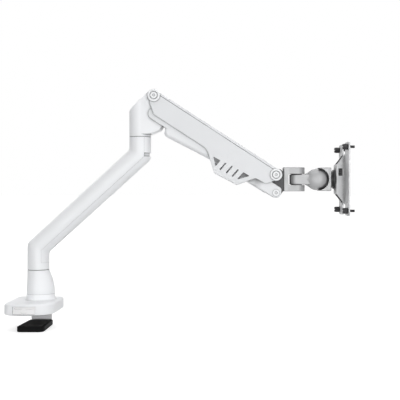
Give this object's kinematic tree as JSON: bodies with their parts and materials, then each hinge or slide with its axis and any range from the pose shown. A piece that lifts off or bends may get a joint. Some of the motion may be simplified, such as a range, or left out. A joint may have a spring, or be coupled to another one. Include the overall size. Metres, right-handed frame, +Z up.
{
  "type": "monitor arm",
  "caption": "Desk-clamp monitor arm: bent lower arm on a post, gas-spring upper arm over a parallel link, and a swivel, tilt and turn head with a square mounting plate.",
  "frame": {"origin": "on the post's axis, at the underside of the base pad, which is the desk's top surface", "axes": "+Z up; +X along the arm's reach at rest, from the post towards the mounting plate; the desk comes in from -Y and the clamp closes on +Y behind its edge"},
  "size_m": [0.5494, 0.116, 0.3838],
  "materials": {
    "white_paint": "smooth satin powder coat",
    "base_paint": "smooth satin powder coat",
    "silver_paint": "fine silver-grey coat",
    "plate_paint": "fine silver-grey coat",
    "dark_paint": "satin dark grey coat",
    "black_paint": "fine textured black coat",
    "bracket_steel": "satin grey coat",
    "white_plastic": "fine satin moulding",
    "cap_plastic": "smooth moulding",
    "insert_plastic": "fine satin moulding",
    "black_plastic": "satin black moulding",
    "grey_plastic": "dark self-lubricating plastic",
    "black_rubber": "matt soft pad",
    "steel": "turned bright steel",
    "zinc_steel": "bright zinc plate",
    "black_steel": "black oxide",
    "chrome_rod": "ground and chromed",
    "cylinder_paint": "smooth black coat"
  },
  "bodies": {
    "base": {"base_housing": "base_paint", "base_pad": "black_rubber", "front_insert": "insert_plastic", "base_collar": "base_paint", "base_post": "white_paint", "post_screws": "zinc_steel", "base_pole": "steel"},
    "clamp": {"clamp_bracket": "bracket_steel", "clamp_nut": "bracket_steel", "clamp_jaw": "black_paint", "jaw_pad": "black_rubber", "jaw_screws": "black_steel"},
    "screw": {"clamp_screw": "zinc_steel"},
    "lower_arm": {"lower_arm_tube": "white_paint", "cable_cover_long": "white_plastic", "cable_cover_short": "white_plastic", "pole_bush": "grey_plastic", "elbow_shaft": "steel"},
    "elbow": {"elbow_bracket": "white_paint", "elbow_bush": "grey_plastic", "elbow_washer": "grey_plastic", "rear_upper_pin": "steel", "rear_lower_pin": "steel", "tension_carriage": "zinc_steel", "tension_screw": "black_steel", "spring_anchor_pin": "steel"},
    "upper_arm": {"arm_frame": "white_paint", "frame_bushes": "grey_plastic", "cover_screws": "zinc_steel", "arm_cover_far": "white_plastic", "arm_cover_near": "white_plastic", "rear_cap_far": "cap_plastic", "rear_cap_near": "cap_plastic", "front_cap_far": "cap_plastic", "front_cap_near": "cap_plastic", "front_upper_pin": "steel", "gas_cylinder": "cylinder_paint", "cylinder_pin": "steel"},
    "spring_rod": {"gas_rod": "chrome_rod", "rod_eye": "zinc_steel"},
    "link": {"lower_link": "white_paint", "link_bushes": "grey_plastic", "front_lower_pin": "cap_plastic"},
    "head": {"head_yoke": "dark_paint", "yoke_bushes": "grey_plastic", "head_fork": "silver_paint", "fork_screws": "black_steel", "swivel_pin": "steel", "swivel_washers": "grey_plastic"},
    "knuckle_body": {"knuckle": "silver_paint", "tilt_pin": "black_steel", "tilt_washers": "grey_plastic"},
    "tilt_body": {"tilt_block": "silver_paint", "rotation_shaft": "steel", "ring_washer": "black_plastic", "friction_hub": "black_plastic"},
    "plate": {"vesa_plate": "plate_paint", "plate_bush": "grey_plastic", "thumb_screws": "black_plastic"}
  },
  "joints": [
    {"name": "base_pan", "type": "hinge", "parent": "base", "child": "lower_arm", "pos_m": [0, 0, 0.0677], "axis": [0, 0, 1], "range_deg": [-180, 180]},
    {"name": "clamp_travel", "type": "slide", "parent": "base", "child": "clamp", "axis": [0, 0, 1], "range_m": [-0.008, 0.0045]},
    {"name": "clamp_screw_turn", "type": "hinge", "parent": "base", "child": "screw", "pos_m": [0, 0.0279, 0.0125], "axis": [0, 0, 1], "range_deg": [-1620, 2880]},
    {"name": "elbow_swivel", "type": "hinge", "parent": "lower_arm", "child": "elbow", "pos_m": [0.1654, 0, 0.2826], "axis": [0, 0, 1], "range_deg": [-180, 180]},
    {"name": "arm_pitch", "type": "hinge", "parent": "elbow", "child": "upper_arm", "pos_m": [0.19, 0, 0.348], "axis": [0, -1, 0], "range_deg": [0, 66]},
    {"name": "link_pitch", "type": "hinge", "parent": "elbow", "child": "link", "pos_m": [0.19, 0, 0.319], "axis": [0, -1, 0], "range_deg": [0, 66]},
    {"name": "spring_stroke", "type": "slide", "parent": "upper_arm", "child": "spring_rod", "axis": [-0.851, 0, 0.5252], "range_m": [0, 0.0165]},
    {"name": "head_level", "type": "hinge", "parent": "upper_arm", "child": "head", "pos_m": [0.38541, 0, 0.2211], "axis": [0, -1, 0], "range_deg": [-66, 0]},
    {"name": "head_swivel", "type": "hinge", "parent": "head", "child": "knuckle_body", "pos_m": [0.4195, 0, 0.214], "axis": [0, 0, 1], "range_deg": [-90, 90]},
    {"name": "head_tilt", "type": "hinge", "parent": "knuckle_body", "child": "tilt_body", "pos_m": [0.453, 0, 0.214], "axis": [0, 1, 0], "range_deg": [-40, 40]},
    {"name": "plate_turn", "type": "hinge", "parent": "tilt_body", "child": "plate", "pos_m": [0.4825, 0, 0.214], "axis": [1, 0, 0], "range_deg": [-90, 90]}
  ],
  "couplings": [
    {"joint": "link_pitch", "follows": "arm_pitch", "ratio": 1},
    {"joint": "head_level", "follows": "arm_pitch", "ratio": -1},
    {"joint": "spring_stroke", "follows": "arm_pitch", "m_per_rad": 0.01418},
    {"joint": "clamp_screw_turn", "follows": "clamp_travel", "rad_per_m": -6283.2}
  ]
}
